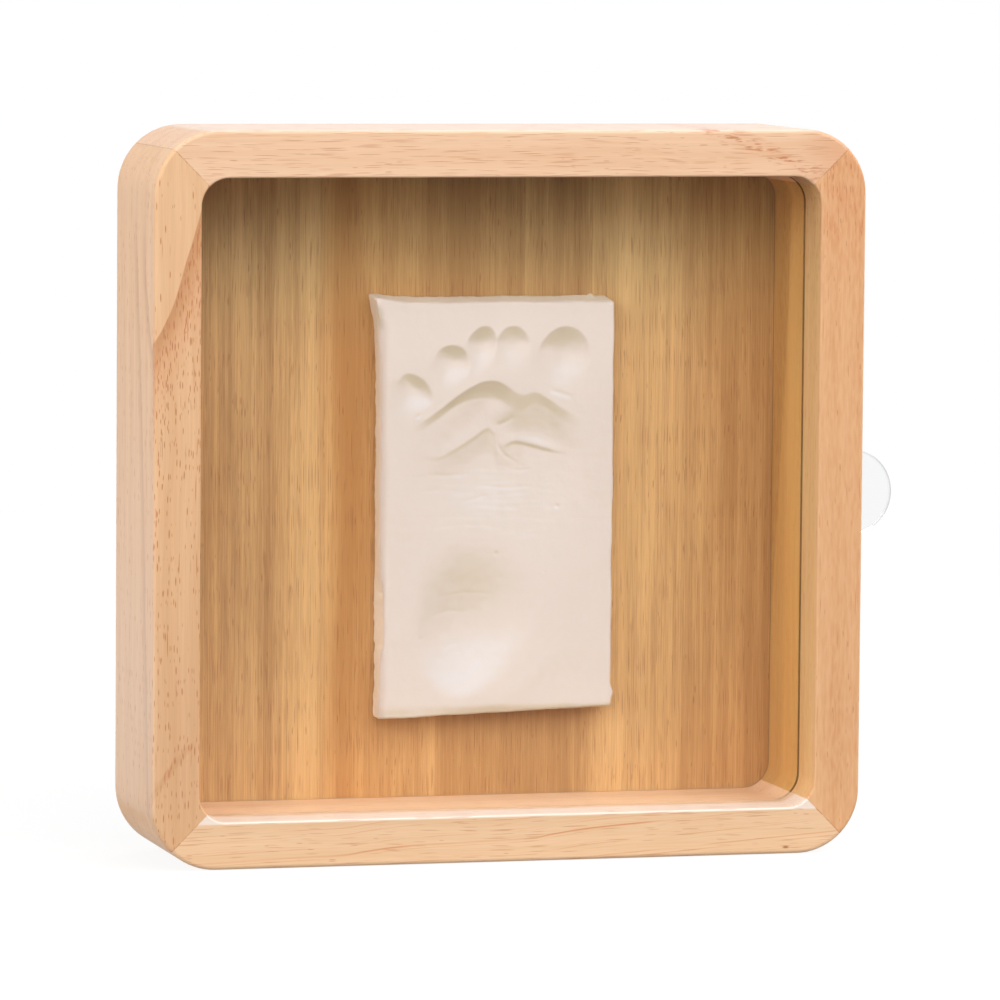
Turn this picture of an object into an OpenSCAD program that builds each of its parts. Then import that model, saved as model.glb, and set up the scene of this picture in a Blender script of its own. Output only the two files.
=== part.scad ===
// Keepsake box: a square wooden frame with mitred, rounded corners, a clear pane that slides out
// to the right, and a recessed back panel that carries a clay slab with a footprint in it.
// The box stands on its bottom bar, facing -Y, with the origin at the centre of its base.

/* [Box] */
// Outside width and height of the box
box_size = 170; // [150:1:210]
// Depth of the box, front to back
box_depth = 42; // [36:0.5:60]
// Width of the bars, seen from the front
bar_width = 11; // [9:0.5:15]
// Radius of the box's outer corners
outer_corner = 15; // [10:0.5:17]
// Radius of the opening's corners
inner_corner = 6.5; // [4:0.5:9]
// Round-over on the outer edges, front and rear
edge_round = 1; // [0.5:0.25:3]
// Round-over on the opening's front lip
lip_round = 0.5; // [0.5:0.25:3]

/* [Sliding pane] */
// Wood in front of the pane's groove
groove_setback = 12.4; // [9:0.2:15]
// Depth of the groove in the bars
groove_depth = 2.5; // [1.5:0.25:3]
// Thickness of the clear pane
pane_thickness = 1.5; // [1:0.1:2.5]
// Gap between the pane and the groove on every side
pane_clearance = 0.2; // [0.15:0.05:0.4]
// Setback of the pane's pull edge behind the side of the box
pane_setback = 1.6; // [1:0.1:3]
// Radius of the pull tab
tab_radius = 10; // [7:0.1:14]
// Distance of the tab's centre outside the side of the box
tab_offset = 1.1; // [0:0.1:3]
// Drop of the tab's centre below the middle of the box
tab_drop = 1; // [0:0.1:4]

/* [Back panel] */
// Thickness of the back panel
panel_thickness = 3; // [2:0.25:4]
// Setback of the panel from the rear of the box
panel_recess = 1.6; // [1:0.1:2.5]
// Width of the rabbet that the panel sits in
rabbet_width = 4; // [3:0.25:5]
// Gap round the edge of the panel
panel_clearance = 0.2; // [0.1:0.05:0.5]

/* [Clay slab] */
// Width of the slab
slab_width = 56; // [46:0.2:70]
// Height of the slab at its longer side
slab_height = 99.6; // [90:0.2:110]
// Thickness of the slab
slab_thickness = 7; // [5:0.25:10]
// Shift of the slab to the right of the box's centre
slab_shift = 4.1; // [-10:0.1:10]
// Drop of the slab below the box's centre
slab_drop = 5.3; // [-8:0.1:8]
// Rounding of the slab's edges
slab_edge = 1; // [0.8:0.1:2.5]
// Fall of the slab's lower edge from right to left
slab_slant = 2; // [0:0.1:4]
// Flare of the slab's top left corner
slab_flare = 1.4; // [0:0.1:2.5]

/* [Footprint] */
// Length of the foot from heel to toe
foot_length = 86; // [70:1:90]
// Depth of the deepest pad
foot_depth = 1.7; // [1:0.1:3]
// Shift of the foot to the left of the slab's centre
foot_shift = 2.9; // [-6:0.1:6]
// Drop of the foot below the slab's centre
foot_drop = 1.3; // [-6:0.1:6]

/* [Fixings] */
// Diameter of the mitre dowels
dowel_diameter = 4; // [3:0.5:5]
// Length of the mitre dowels
dowel_length = 12; // [8:0.5:13]
// Gap round a dowel
dowel_clearance = 0.05; // [0.02:0.01:0.2]
// Gap for glue past each end of a dowel
dowel_end_gap = 0.5; // [0.2:0.1:1]
// Diameter of the panel brads
brad_diameter = 1.2; // [0.8:0.1:1.6]
// Length of the panel brads under the head
brad_length = 12; // [8:0.5:14]
// Diameter of a brad's head
brad_head = 2.2; // [1.8:0.1:2.6]
// Thickness of a brad's head
brad_head_thickness = 0.5; // [0.3:0.1:0.8]
// Gap round a brad
brad_clearance = 0.03; // [0.02:0.01:0.1]
// Spacing of the three brads on each side
brad_pitch = 50; // [30:1:55]
// Width of a tape strip
tape_width = 40; // [20:1:44]
// Height of a tape strip
tape_height = 12; // [8:1:20]
// Thickness of the tape
tape_thickness = 0.6; // [0.3:0.1:1.5]
// Distance between the two tape strips, centre to centre
tape_pitch = 56; // [30:1:64]

/* [Hidden] */
$fn = 96;
// How far a cutting shape runs past the wood that it cuts
past = 1;

half_box = box_size / 2;
half_opening = half_box - bar_width;
box_arc_centre = half_box - outer_corner;
opening_arc_centre = half_opening - inner_corner;

groove_width = pane_thickness + 2 * pane_clearance;
groove_front = box_depth - groove_setback;
groove_rear = groove_front - groove_width;
half_groove = half_opening + groove_depth;
half_pane = half_groove - pane_clearance;
pane_right = half_box - pane_setback;

rabbet_floor = panel_recess + panel_thickness;
half_rabbet = half_opening + rabbet_width;
rabbet_corner = inner_corner + rabbet_width;
brad_line = half_opening + rabbet_width / 2;

mitre_outer = box_arc_centre + outer_corner * cos(45);
mitre_inner = opening_arc_centre + inner_corner * cos(45);
mitre_middle = (mitre_outer + mitre_inner) / 2;
dowel_front_row = (groove_front + box_depth) / 2;
dowel_rear_row = (rabbet_floor + groove_rear) / 2;

slab_rear = rabbet_floor + tape_thickness;
// Steps of the slab's surface across its flat part, and within its rounded edge in shares of the rounding
slab_columns = 34;
slab_rows = 58;
edge_steps = [0, 0.1, 0.4];
// How sharply the slab's corner flares, across and up
flare_across = 6;
flare_up = 12;

// The footprint is a set of oval dents. Each row is the place of a pad's centre, its half width and
// half length, all in hundredths of the foot's length, its turn in degrees and its share of the depth.
foot_pads = [
    [[23, 43], [7.6, 10.2], 4, 0.95],
    [[8, 46], [4.8, 6.6], 4, 0.8],
    [[-1.5, 45], [4.8, 7], 14, 0.9],
    [[-9.5, 40], [5, 7.4], 26, 0.9],
    [[-20, 32], [4.8, 8], 34, 0.85],
    [[-6.5, 24.5], [18.5, 10.3], 24, 1],
    [[15.5, 23.5], [15, 10.8], -20, 1],
    [[-2, 13], [20, 9], 6, 0.5],
    [[-2, -28], [19, 25], 0, 0.95]
];
// How softly a dent runs out into the face
dent_softness = 1.6;

bar_colour = "#e3b68a";
dowel_colour = "#d9bd94";
panel_colour = "#b98850";
pane_colour = [0.93, 0.95, 0.96, 0.3];
clay_colour = "#e9ddd2";
brad_colour = "#b8b8b4";
tape_colour = "#f4f2ec";

// The pieces are drawn with the box lying on its back, front face up, and then stood upright
module upright() {
    translate([0, box_depth / 2, half_box])
        rotate([90, 0, 0])
            children();
}

// Square with round corners, centred
module rounded_square(side, radius) {
    square([side, side - 2 * radius], center = true);
    square([side - 2 * radius, side], center = true);
    for (x = [-1, 1], y = [-1, 1])
        translate([x, y] * (side / 2 - radius))
            circle(radius);
}

// Section through the outside of a bar, from a line inside it out to its face, both edges rounded
module bar_section(reach) {
    square([reach - edge_round, box_depth]);
    translate([0, edge_round])
        square([reach, box_depth - 2 * edge_round]);
    for (height = [edge_round, box_depth - edge_round])
        translate([reach - edge_round, height])
            circle(edge_round);
}

// Section through the opening, from a line inside it out to the wood, flared round the front lip
module opening_section(reach) {
    translate([0, -past])
        square([reach, box_depth + 2 * past]);
    difference() {
        translate([0, box_depth - lip_round])
            square([reach + lip_round, lip_round + past]);
        translate([reach + lip_round, box_depth - lip_round])
            circle(lip_round);
    }
}

// Runs a section along the +X side of a square
module along_side(length) {
    rotate([90, 0, 0])
        linear_extrude(height = length, center = true)
            children();
}

// Turns a section round the corner at the +Y end of that side
module round_corner(centre) {
    translate([centre, centre, 0])
        rotate_extrude(angle = 90)
            children();
}

// Outside of the bar on the +X side, before the opening is cut
module bar_blank() {
    translate([opening_arc_centre, 0, 0])
        along_side(2 * box_arc_centre)
            bar_section(half_box - opening_arc_centre);
    for (side = [0, 1])
        mirror([0, side, 0])
            round_corner(box_arc_centre)
                bar_section(outer_corner);
}

// The part of the opening that the bar on the +X side bounds
module opening_cut() {
    translate([opening_arc_centre, 0, 0])
        along_side(2 * opening_arc_centre)
            opening_section(inner_corner);
    for (side = [0, 1])
        mirror([0, side, 0])
            round_corner(opening_arc_centre)
                opening_section(inner_corner);
}

// Everything between the two mitre planes of the +X side
module mitre_wedge() {
    translate([0, 0, -past])
        linear_extrude(height = box_depth + 2 * past)
            polygon([[0, 0], [box_size, -box_size], [box_size, box_size]]);
}

// Path of the pane through the bars, from the blind groove on the left out through the right side
module pane_path() {
    translate([-half_groove, -half_groove, groove_rear])
        cube([half_groove + half_box + past, 2 * half_groove, groove_width]);
}

module rabbet_cut() {
    translate([0, 0, -past])
        linear_extrude(height = rabbet_floor + past)
            rounded_square(2 * half_rabbet, rabbet_corner);
}

// A dowel across the mitre of the corner on the side given by x and y, each 1 or -1
module dowel_shape(x, y, row, diameter, length) {
    translate([x * mitre_middle, y * mitre_middle, row])
        rotate([90, 0, 45 * x * y])
            cylinder(d = diameter, h = length, center = true);
}

module dowel_holes() {
    for (x = [-1, 1], y = [-1, 1], row = [dowel_front_row, dowel_rear_row])
        dowel_shape(x, y, row, dowel_diameter + 2 * dowel_clearance, dowel_length + 2 * dowel_end_gap);
}

// Brads or their holes: three to a side, pointing forward from the rear of the panel
module brad_row(diameter, bottom, length) {
    for (turn = [0:90:270], step = [-1, 0, 1])
        rotate([0, 0, turn])
            translate([brad_line, step * brad_pitch, bottom])
                cylinder(d = diameter, h = length);
}

module brad_holes() {
    brad_row(brad_diameter + 2 * brad_clearance, panel_recess - past, brad_length + 2 * past);
}

// One bar of the frame, turned from the +X side to its own side
module bar(turn) {
    color(bar_colour)
        upright()
            difference() {
                rotate([0, 0, turn])
                    difference() {
                        intersection() {
                            bar_blank();
                            mitre_wedge();
                        }
                        opening_cut();
                    }
                pane_path();
                rabbet_cut();
                dowel_holes();
                brad_holes();
            }
}

module right_bar() {
    bar(0);
}

module top_bar() {
    bar(90);
}

module left_bar() {
    bar(180);
}

module bottom_bar() {
    bar(270);
}

module mitre_dowel(x, y, row) {
    color(dowel_colour)
        upright()
            dowel_shape(x, y, row, dowel_diameter, dowel_length);
}

module back_panel() {
    color(panel_colour)
        upright()
            difference() {
                translate([0, 0, panel_recess])
                    linear_extrude(height = panel_thickness)
                        rounded_square(2 * (half_rabbet - panel_clearance), rabbet_corner - panel_clearance);
                brad_holes();
            }
}

module panel_brads() {
    color(brad_colour)
        upright() {
            brad_row(brad_diameter, panel_recess, brad_length);
            brad_row(brad_head, panel_recess - brad_head_thickness, brad_head_thickness);
        }
}

// One clear sheet with its pull tab
module sliding_pane() {
    color(pane_colour)
        upright()
            translate([0, 0, groove_rear + pane_clearance])
                linear_extrude(height = pane_thickness) {
                    translate([-half_pane, -half_pane])
                        square([half_pane + pane_right, 2 * half_pane]);
                    translate([half_box + tab_offset, -tab_drop])
                        circle(tab_radius);
                }
}

module tape_strip(side) {
    color(tape_colour)
        upright()
            translate([slab_shift, side * tape_pitch / 2 - slab_drop, rabbet_floor + tape_thickness / 2])
                cube([tape_width, tape_height, tape_thickness], center = true);
}

// Depth of one pad's dent at a point of the slab
function dent(point, pad) =
    let (
        away = (point + [foot_shift, foot_drop]) * 100 / foot_length - pad[0],
        across = away.x * cos(pad[2]) + away.y * sin(pad[2]),
        along = away.y * cos(pad[2]) - away.x * sin(pad[2]),
        spread = pow(across / pad[1].x, 2) + pow(along / pad[1].y, 2)
    )
    foot_depth * pad[3] * pow(max(0, 1 - spread), dent_softness);

// The rounded edge falls away near the slab's outline, given the distances from its sides
function edge_fall(from_side, from_end) =
    let (
        a = max(0, slab_edge - from_side),
        b = max(0, slab_edge - from_end)
    )
    slab_edge - sqrt(max(0, slab_edge * slab_edge - a * a - b * b));

// Steps across the slab, closer together round its edges
function slab_steps(size, count) = concat(
    [for (step = edge_steps) step * slab_edge],
    [for (i = [0:count]) slab_edge + (size - 2 * slab_edge) * i / count],
    [for (i = [len(edge_steps) - 1:-1:0]) size - edge_steps[i] * slab_edge]
);

// A point of the slab's outline or face, from its distances along the width and the height
function slab_place(across, up) =
    let (
        s = across / slab_width,
        t = up / slab_height
    )
    [
        across - slab_width / 2 - slab_flare * pow(1 - s, flare_across) * pow(t, flare_up),
        up - slab_height / 2 + slab_slant * s * (1 - t)
    ];

function slab_point(across, up) =
    let (
        place = slab_place(across, up),
        fall = edge_fall(min(across, slab_width - across), min(up, slab_height - up)),
        sole = max([for (pad = foot_pads) dent(place, pad)])
    )
    [place.x, place.y, slab_thickness - fall - sole];

// The clay slab: a grid of face points, a ring of rear points under its border and one rear centre
module clay_slab() {
    columns = slab_steps(slab_width, slab_columns);
    rows = slab_steps(slab_height, slab_rows);
    nx = len(columns);
    ny = len(rows);
    face = [for (up = rows) for (across = columns) slab_point(across, up)];
    border = concat(
        [for (i = [0:nx - 2]) i],
        [for (j = [0:ny - 2]) j * nx + nx - 1],
        [for (i = [nx - 1:-1:1]) (ny - 1) * nx + i],
        [for (j = [ny - 1:-1:1]) j * nx]
    );
    around = len(border);
    rear = [for (k = border) [face[k].x, face[k].y, 0]];
    first_rear = nx * ny;
    centre = first_rear + around;
    function after(k) = (k + 1) % around;
    polyhedron(
        points = concat(face, rear, [[0, 0, 0]]),
        faces = concat(
            [for (j = [0:ny - 2]) for (i = [0:nx - 2]) [j * nx + i, (j + 1) * nx + i, j * nx + i + 1]],
            [for (j = [1:ny - 1]) for (i = [0:nx - 2]) [j * nx + i, j * nx + i + 1, (j - 1) * nx + i + 1]],
            [for (k = [0:around - 1]) [border[k], border[after(k)], first_rear + k]],
            [for (k = [0:around - 1]) [border[after(k)], first_rear + after(k), first_rear + k]],
            [for (k = [0:around - 1]) [centre, first_rear + k, first_rear + after(k)]]
        )
    );
}

module clay_imprint() {
    color(clay_colour)
        upright()
            translate([slab_shift, -slab_drop, slab_rear])
                clay_slab();
}

top_bar();
bottom_bar();
left_bar();
right_bar();
mitre_dowel(-1, 1, dowel_front_row);  // dowel_top_left_front
mitre_dowel(-1, 1, dowel_rear_row);  // dowel_top_left_rear
mitre_dowel(1, 1, dowel_front_row);  // dowel_top_right_front
mitre_dowel(1, 1, dowel_rear_row);  // dowel_top_right_rear
mitre_dowel(-1, -1, dowel_front_row);  // dowel_bottom_left_front
mitre_dowel(-1, -1, dowel_rear_row);  // dowel_bottom_left_rear
mitre_dowel(1, -1, dowel_front_row);  // dowel_bottom_right_front
mitre_dowel(1, -1, dowel_rear_row);  // dowel_bottom_right_rear
back_panel();
panel_brads();
tape_strip(1);  // tape_upper
tape_strip(-1);  // tape_lower
clay_imprint();
sliding_pane();
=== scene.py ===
import math

import bpy
import numpy as np
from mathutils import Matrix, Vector, noise


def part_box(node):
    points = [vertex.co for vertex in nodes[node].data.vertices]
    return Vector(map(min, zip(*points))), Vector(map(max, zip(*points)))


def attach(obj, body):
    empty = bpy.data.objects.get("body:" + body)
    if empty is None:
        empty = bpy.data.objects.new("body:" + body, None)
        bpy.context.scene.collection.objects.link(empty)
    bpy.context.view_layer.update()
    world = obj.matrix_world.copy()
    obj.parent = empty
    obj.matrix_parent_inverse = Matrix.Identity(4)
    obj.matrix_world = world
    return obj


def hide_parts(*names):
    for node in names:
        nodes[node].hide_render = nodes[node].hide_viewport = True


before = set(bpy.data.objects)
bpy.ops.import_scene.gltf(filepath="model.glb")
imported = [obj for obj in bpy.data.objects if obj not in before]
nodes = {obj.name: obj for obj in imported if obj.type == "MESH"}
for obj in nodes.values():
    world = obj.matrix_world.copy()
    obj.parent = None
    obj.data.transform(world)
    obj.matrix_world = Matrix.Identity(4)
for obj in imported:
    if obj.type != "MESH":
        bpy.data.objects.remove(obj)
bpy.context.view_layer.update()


# The four bars of the frame: pale hardwood with fine open pores, planed and mitred, glued over dowels,
# then rounded on all edges and given a satin clear coat. Each was cut from another board, so each has
# a figure of its own, and a thin dark glue line shows at every mitre. The grain runs along the bar.
def paint(red, green, blue):
    """A colour from a paint chart, 0 to 255, as the shaders reckon it."""
    chart = (red / 255, green / 255, blue / 255)
    return tuple(c / 12.92 if c <= 0.04045 else ((c + 0.055) / 1.055) ** 2.4 for c in chart) + (1,)


def put(tree, kind, feeds=None, **settings):
    """Adds a node. feeds gives its inputs a value or a link, and settings are the node's own."""
    made = tree.nodes.new("ShaderNode" + kind)
    for name, value in settings.items():
        setattr(made, name, value)
    for name, value in (feeds or {}).items():
        if isinstance(value, bpy.types.NodeSocket):
            tree.links.new(value, made.inputs[name])
        else:
            made.inputs[name].default_value = value
    return made


def reckon(tree, operation, *values):
    """One step of arithmetic on numbers or links."""
    return put(tree, "Math", dict(enumerate(values)), operation=operation).outputs[0]


def step(tree, value, low, high):
    """0 up to low, 1 from high on, and a soft step between. Low may be the larger of the two."""
    feeds = {"Value": value, "From Min": low, "From Max": high}
    return put(tree, "MapRange", feeds, interpolation_type="SMOOTHSTEP").outputs[0]


def spread(tree, value, low, high):
    """Lays a 0 to 1 value out between two others."""
    return put(tree, "MapRange", {"Value": value, "To Min": low, "To Max": high}).outputs[0]


def stain(tree, share, under, over, how="MIX"):
    """One colour over another, by a share that may change over the surface."""
    feeds = {0: share, 6: under, 7: over}
    return put(tree, "Mix", feeds, data_type="RGBA", blend_type=how).outputs[2]


def stretched(tree, place, along, across):
    """A place shrunk by two sizes, so that a pattern of size 1 is drawn out along X."""
    shrink = (1 / along, 1 / across, 1 / across)
    return put(tree, "VectorMath", {0: place, 1: shrink}, operation="MULTIPLY").outputs[0]


def cloud(tree, place, along, across, detail=2):
    """Soft noise, drawn out along the grain. The sizes are in millimetres."""
    feeds = {"Vector": stretched(tree, place, along, across), "Scale": 1, "Detail": detail}
    return put(tree, "TexNoise", feeds).outputs[0]


def drawn_line(tree, along, points):
    """How high a line runs that is drawn along a face, through points in millimetres."""
    points = sorted(points)
    first, last = points[0][0], points[-1][0]
    low, high = min(p[1] for p in points), max(p[1] for p in points)
    share = put(tree, "MapRange", {"Value": along, "From Min": first, "From Max": last}).outputs[0]
    curve = put(tree, "FloatCurve", {"Value": share})
    knots = curve.mapping.curves[0].points
    for _ in points[2:]:
        knots.new(0.5, 0.5)
    for knot, (u, v) in zip(knots, points):
        knot.location = ((u - first) / (last - first), (v - low) / (high - low))
    curve.mapping.update()
    return spread(tree, curve.outputs[0], low, high)


def shared_effect(name, takes, gives):
    """An empty node group with named inputs, at their usual values, and named outputs."""
    group = bpy.data.node_groups.new(name, "ShaderNodeTree")
    for title, kind, value in takes:
        socket = group.interface.new_socket(title, in_out="INPUT", socket_type="NodeSocket" + kind)
        socket.default_value = value
    for title, kind in gives:
        group.interface.new_socket(title, in_out="OUTPUT", socket_type="NodeSocket" + kind)
    return group, group.nodes.new("NodeGroupInput").outputs, group.nodes.new("NodeGroupOutput").inputs


def new_finish(name):
    """A bare material, with its node tree and its shader."""
    made = bpy.data.materials.new(name)
    made.use_nodes = True
    made.node_tree.nodes.clear()
    shader = put(made.node_tree, "BsdfPrincipled")
    put(made.node_tree, "OutputMaterial", {"Surface": shader.outputs[0]})
    return made, made.node_tree, shader


def dress(name, material):
    """Gives a node of the CAD its finish."""
    nodes[name].material_slots[0].material = material


# Grain in millimetres, with X along the fibres: broad tone, fine fibre, and the cut-open pores
grain, taken, given = shared_effect(
    "wood_grain",
    [
        ("Place", "Vector", (0, 0, 0)),
        ("Board", "Float", 0),
        ("Short Pores", "Float", 0.2),
        ("Long Pores", "Float", 0.3),
    ],
    [("Tone", "Float"), ("Fibre", "Float"), ("Pores", "Float"), ("Mottle", "Float"), ("Flecks", "Float")],
)
next_board = (371, 113, 59)
board = put(grain, "VectorMath", {0: next_board, 3: taken["Board"]}, operation="SCALE").outputs[0]
moved = put(grain, "VectorMath", {0: taken["Place"], 1: board}, operation="ADD").outputs[0]
waver = spread(grain, cloud(grain, moved, 60, 25), -1.6, 1.6)
waver = put(grain, "CombineXYZ", {1: waver, 2: waver}).outputs[0]
moved = put(grain, "VectorMath", {0: moved, 1: waver}, operation="ADD").outputs[0]
broad = cloud(grain, moved, 140, 5, 3)
fine = cloud(grain, moved, 45, 0.9, 3)
hair = cloud(grain, moved, 16, 0.28, 2)
tone = reckon(grain, "MULTIPLY_ADD", broad, 0.55, reckon(grain, "MULTIPLY", fine, 0.45))
grain.links.new(step(grain, tone, 0.33, 0.68), given["Tone"])
fibre = reckon(grain, "MULTIPLY_ADD", fine, 0.4, reckon(grain, "MULTIPLY", hair, 0.6))
grain.links.new(fibre, given["Fibre"])
grain.links.new(step(grain, cloud(grain, moved, 3.6, 0.6, 1), 0.3, 0.7), given["Mottle"])
grain.links.new(step(grain, cloud(grain, moved, 3.4, 0.55, 3), 0.54, 0.66), given["Flecks"])
pores = None
for share, length, width in (("Short Pores", 2.6, 0.36), ("Long Pores", 9, 0.25)):
    cells = put(grain, "TexVoronoi", {"Vector": stretched(grain, moved, length, width), "Scale": 1})
    chance, size, _ = put(grain, "SeparateColor", {0: cells.outputs["Color"]}).outputs
    kept = reckon(grain, "LESS_THAN", chance, taken[share])
    near = reckon(grain, "DIVIDE", cells.outputs["Distance"], spread(grain, size, 0.5, 1.35))
    cut = reckon(grain, "MULTIPLY", step(grain, near, 0.4, 0.2), kept)
    pores = cut if pores is None else reckon(grain, "MAXIMUM", pores, cut)
grain.links.new(pores, given["Pores"])

# A growth line: sharp on one side, fading out over a distance on the other
growth, taken, given = shared_effect(
    "growth_line",
    [("Across", "Float", 0), ("Line", "Float", 0), ("Fade", "Float", 5), ("Edge", "Float", 0.3)],
    [("Past", "Float"), ("Shade", "Float")],
)
past = reckon(growth, "SUBTRACT", taken["Across"], taken["Line"])
growth.links.new(past, given["Past"])
near = step(growth, reckon(growth, "DIVIDE", past, taken["Edge"]), -1, 0)
far = step(growth, reckon(growth, "DIVIDE", past, taken["Fade"]), 1, 0)
growth.links.new(reckon(growth, "MULTIPLY", near, far), given["Shade"])

# The glue line of the mitres, which lie on the diagonals of the square
half_box = 85
joint, taken, given = shared_effect("mitre_glue", [("Place", "Vector", (0, 0, 0))], [("Line", "Float")])
x, _, z = put(joint, "SeparateXYZ", {0: taken["Place"]}).outputs
from_middle = reckon(joint, "ABSOLUTE", reckon(joint, "MULTIPLY_ADD", z, 1000, -half_box))
from_side = reckon(joint, "ABSOLUTE", reckon(joint, "MULTIPLY", x, 1000))
off = reckon(joint, "ABSOLUTE", reckon(joint, "SUBTRACT", from_side, from_middle))
joint.links.new(step(joint, off, 0.26, 0.08), given["Line"])


def use(tree, group, **feeds):
    """Puts a shared effect in a tree. An underscore stands for the space in an input's name."""
    made = put(tree, "Group", node_tree=group)
    for name, value in feeds.items():
        socket = made.inputs[name.replace("_", " ")]
        if isinstance(value, bpy.types.NodeSocket):
            tree.links.new(value, socket)
        else:
            socket.default_value = value
    return made.outputs


PORE = paint(186, 104, 58)
ROSY = paint(222, 148, 100)
RED_FLECK = paint(206, 118, 76)
BROWN = paint(178, 118, 66)
# A painted sheen and highlight, for faces and edges that catch the light
PALE_SHEEN = paint(255, 239, 227)
GLUE = paint(176, 118, 70)
# Painted shade, for the pane's groove and where the walls meet the panel
PAINTED_SHADE = paint(104, 66, 36)

# Factors on the wood's colour for a wall inside the box: a yellower tone in front of the pane, and behind it
# a darker, more orange tone that is painted shade
HONEY = (1.02, 1.1, 0.95, 1)
AMBER_SHADE = (0.75, 0.76, 0.49, 1)

# In millimetres: how far from a bar's middle line its rounded edge ends and its side begins, and how far
# behind the front the pane's groove and the panel lie
edge_ends, side_begins = 4.9, 5.4
groove_depth, panel_depth = 13.35, 37.3


def grain_place(tree, turn, centre):
    """Object coordinates in millimetres, turned so that X runs along the fibres."""
    seen = put(tree, "TexCoord").outputs["Object"]
    feeds = {"Vector": seen, "Rotation": turn, "Location": centre, "Scale": (1000, 1000, 1000)}
    return seen, put(tree, "Mapping", feeds).outputs[0]


def times(tree, *shares):
    """Shares laid over each other: what all of them cover."""
    made = shares[0]
    for share in shares[1:]:
        made = reckon(tree, "MULTIPLY", made, share)
    return made


def off_line(tree, value, line):
    """How far a value is from a line, on either side."""
    return reckon(tree, "ABSOLUTE", reckon(tree, "SUBTRACT", value, line))


def bar_finish(name, board, turn, centre, opening, light, dark, short_pores, long_pores, pore_tone, figure):
    """Bare wood from the shared grain, then the bar's own figure with its painted sheen, its pores, painted
    shade in the pane's groove and along the panel, and its glue lines.

    opening is 1 where the box's opening lies on the positive side across the bar, and -1 where it lies
    on the other. light and dark are the board's two tones, and figure gives the marks that are its own.
    """
    material, tree, shader = new_finish(name)
    seen, place = grain_place(tree, turn, centre)
    along, across, depth = put(tree, "SeparateXYZ", {0: place}).outputs
    marks = figure(tree, along, across, depth)
    short = reckon(tree, "MULTIPLY_ADD", marks.get("pores", 0.0), 0.8, short_pores)
    wood = use(tree, grain, Place=place, Board=board, Short_Pores=short, Long_Pores=long_pores)
    colour = stain(tree, wood["Tone"], light, dark)
    for share, over in (("rosy", ROSY), ("brown", BROWN), ("sheen", PALE_SHEEN)):
        if share in marks:
            colour = stain(tree, marks[share], colour, over)
    if "flecks" in marks:
        colour = stain(tree, times(tree, wood["Flecks"], marks["flecks"]), colour, RED_FLECK)
    colour = stain(tree, spread(tree, wood["Fibre"], 0.6, -0.25), colour, dark, "MULTIPLY")
    if "ripple" in marks:
        colour = stain(tree, times(tree, wood["Mottle"], marks["ripple"]), colour, light)
    if "wall" in marks:
        # The wall inside the box: yellower in front of the pane, and darker behind it as painted shade
        wall_tone_and_shade = stain(tree, step(tree, depth, 12, 14), HONEY, AMBER_SHADE)
        colour = stain(tree, marks["wall"], colour, wall_tone_and_shade, "MULTIPLY")
    colour = stain(tree, times(tree, wood["Pores"], pore_tone), colour, PORE)
    inward = reckon(tree, "MULTIPLY", across, opening)
    inside = times(tree, step(tree, inward, edge_ends, side_begins), 0.7)
    # Painted shade: darker in the pane's groove and along the last millimetre of wall by the panel
    in_groove = step(tree, off_line(tree, depth, groove_depth), 1.15, 0.85)
    groove = times(tree, in_groove, step(tree, inward, 0, 1), marks.get("groove", 0.5))
    panel_edge_shade = times(tree, inside, step(tree, depth, panel_depth - 0.9, panel_depth))
    colour = stain(tree, reckon(tree, "MAXIMUM", groove, panel_edge_shade), colour, PAINTED_SHADE)
    glue = times(tree, use(tree, joint, Place=seen)["Line"], spread(tree, wood["Mottle"], 0.1, 0.7))
    glue = times(tree, glue, reckon(tree, "SUBTRACT", 1, inside))
    tree.links.new(stain(tree, glue, colour, GLUE), shader.inputs["Base Color"])
    rough = reckon(tree, "MULTIPLY_ADD", wood["Pores"], 0.2, spread(tree, wood["Fibre"], 0.34, 0.5))
    tree.links.new(rough, shader.inputs["Roughness"])
    shader.inputs["Coat Weight"].default_value = 0.12
    shader.inputs["Coat Roughness"].default_value = 0.35
    height = reckon(tree, "SUBTRACT", reckon(tree, "MULTIPLY", wood["Fibre"], 0.4), wood["Pores"])
    bump = put(tree, "Bump", {"Height": height, "Strength": 0.2, "Distance": 0.00006})
    tree.links.new(bump.outputs[0], shader.inputs["Normal"])
    return material


def front_of(tree, depth):
    """1 on a bar's front, and 0 where its rounded edge has turned away."""
    return step(tree, depth, 2.5, 1)


def top_figure(tree, along, across, depth):
    """A rosy streak of flecks runs down across the right end, and the top face outside gets a painted sheen.
    """
    points = [(36, -10), (45, -6.5), (50, -4.5), (57, -2), (63, 0.5), (68, 3), (80, 7)]
    streak = drawn_line(tree, along, points)
    mask = times(tree, step(tree, off_line(tree, across, streak), 3, 0), step(tree, along, 38, 50))
    end = times(tree, step(tree, along, 66, 80), 0.35)
    return {
        "rosy": reckon(tree, "MAXIMUM", times(tree, mask, 0.12), end),
        "flecks": times(tree, mask, 0.75),
        "pores": times(tree, mask, 0.6),
        "sheen": times(tree, step(tree, across, -edge_ends, -side_begins), 0.72),
    }


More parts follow.
